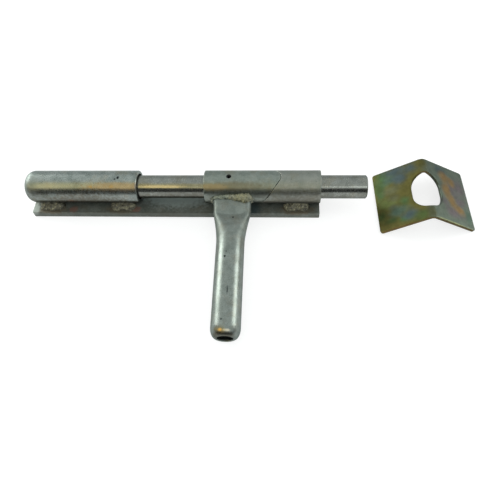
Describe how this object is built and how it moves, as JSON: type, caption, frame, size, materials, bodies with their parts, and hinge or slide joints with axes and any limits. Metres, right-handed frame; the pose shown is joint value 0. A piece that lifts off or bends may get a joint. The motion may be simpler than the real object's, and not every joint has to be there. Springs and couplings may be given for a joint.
{
  "type": "slam lock",
  "caption": "Spring-loaded round bolt in two welded tubes, drawn back by turning a flattened tube handle on a cam, with a bent strike plate.",
  "frame": {"origin": "middle of the mounting bar's underside, which is the mounting face, straight below the bolt's axis", "axes": "+X along the bolt towards its tip, +Z away from the mounting face, and -Y towards the handle at rest"},
  "size_m": [0.3713, 0.1591, 0.0329],
  "materials": {
    "bar_zinc": "clear zinc plate, satin, slightly mottled",
    "tube_zinc": "clear zinc plate over drawn tube, satin",
    "collar_zinc": "clear zinc plate over drawn tube, satin",
    "rod_zinc": "clear zinc plate over cold drawn bar, semi-bright",
    "handle_zinc": "clear zinc plate over pressed tube, satin",
    "weld_bead": "plated weld metal, rough and rippled",
    "pin_steel": "dark plated spring steel",
    "spring_steel": "oiled spring steel wire",
    "washer_steel": "plain steel washer",
    "strike_yellow_zinc": "yellow chromate over zinc, iridescent olive, gold and purple"
  },
  "bodies": {
    "housing": {"mounting_bar": "bar_zinc", "rear_tube": "tube_zinc", "front_tube": "tube_zinc", "rear_tube_welds": "weld_bead", "front_tube_welds": "weld_bead"},
    "spring": {"return_spring": "spring_steel"},
    "washer": {"thrust_washer": "washer_steel"},
    "bolt": {"bolt_rod": "rod_zinc", "cam_collar": "collar_zinc", "roll_pin": "pin_steel", "handle_tube": "handle_zinc", "handle_weld": "weld_bead"},
    "strike": {"strike_plate": "strike_yellow_zinc"}
  },
  "joints": [
    {"name": "slam_slide", "type": "slide", "parent": "housing", "child": "spring", "axis": [-1, 0, 0], "range_m": [0, 0.026], "stiffness_N_per_m": 2700, "springref_m": -0.012, "deforming": ["return_spring"]},
    {"name": "cam_slide", "type": "slide", "parent": "spring", "child": "washer", "axis": [-1, 0, 0], "range_m": [0, 0.029], "stiffness_N_per_m": 2700, "springref_m": -0.012, "deforming": ["return_spring"]},
    {"name": "handle_turn", "type": "hinge", "parent": "washer", "child": "bolt", "pos_m": [0.0278, 0, 0.01945], "axis": [-1, 0, 0], "range_deg": [0, 180]},
    {"name": "strike_lift", "type": "slide", "parent": "housing", "child": "strike", "axis": [0, 0, 1], "range_m": [0, 0.06]}
  ],
  "couplings": [
    {"joint": "cam_slide", "follows": "handle_turn", "m_per_rad": 0.0092}
  ]
}
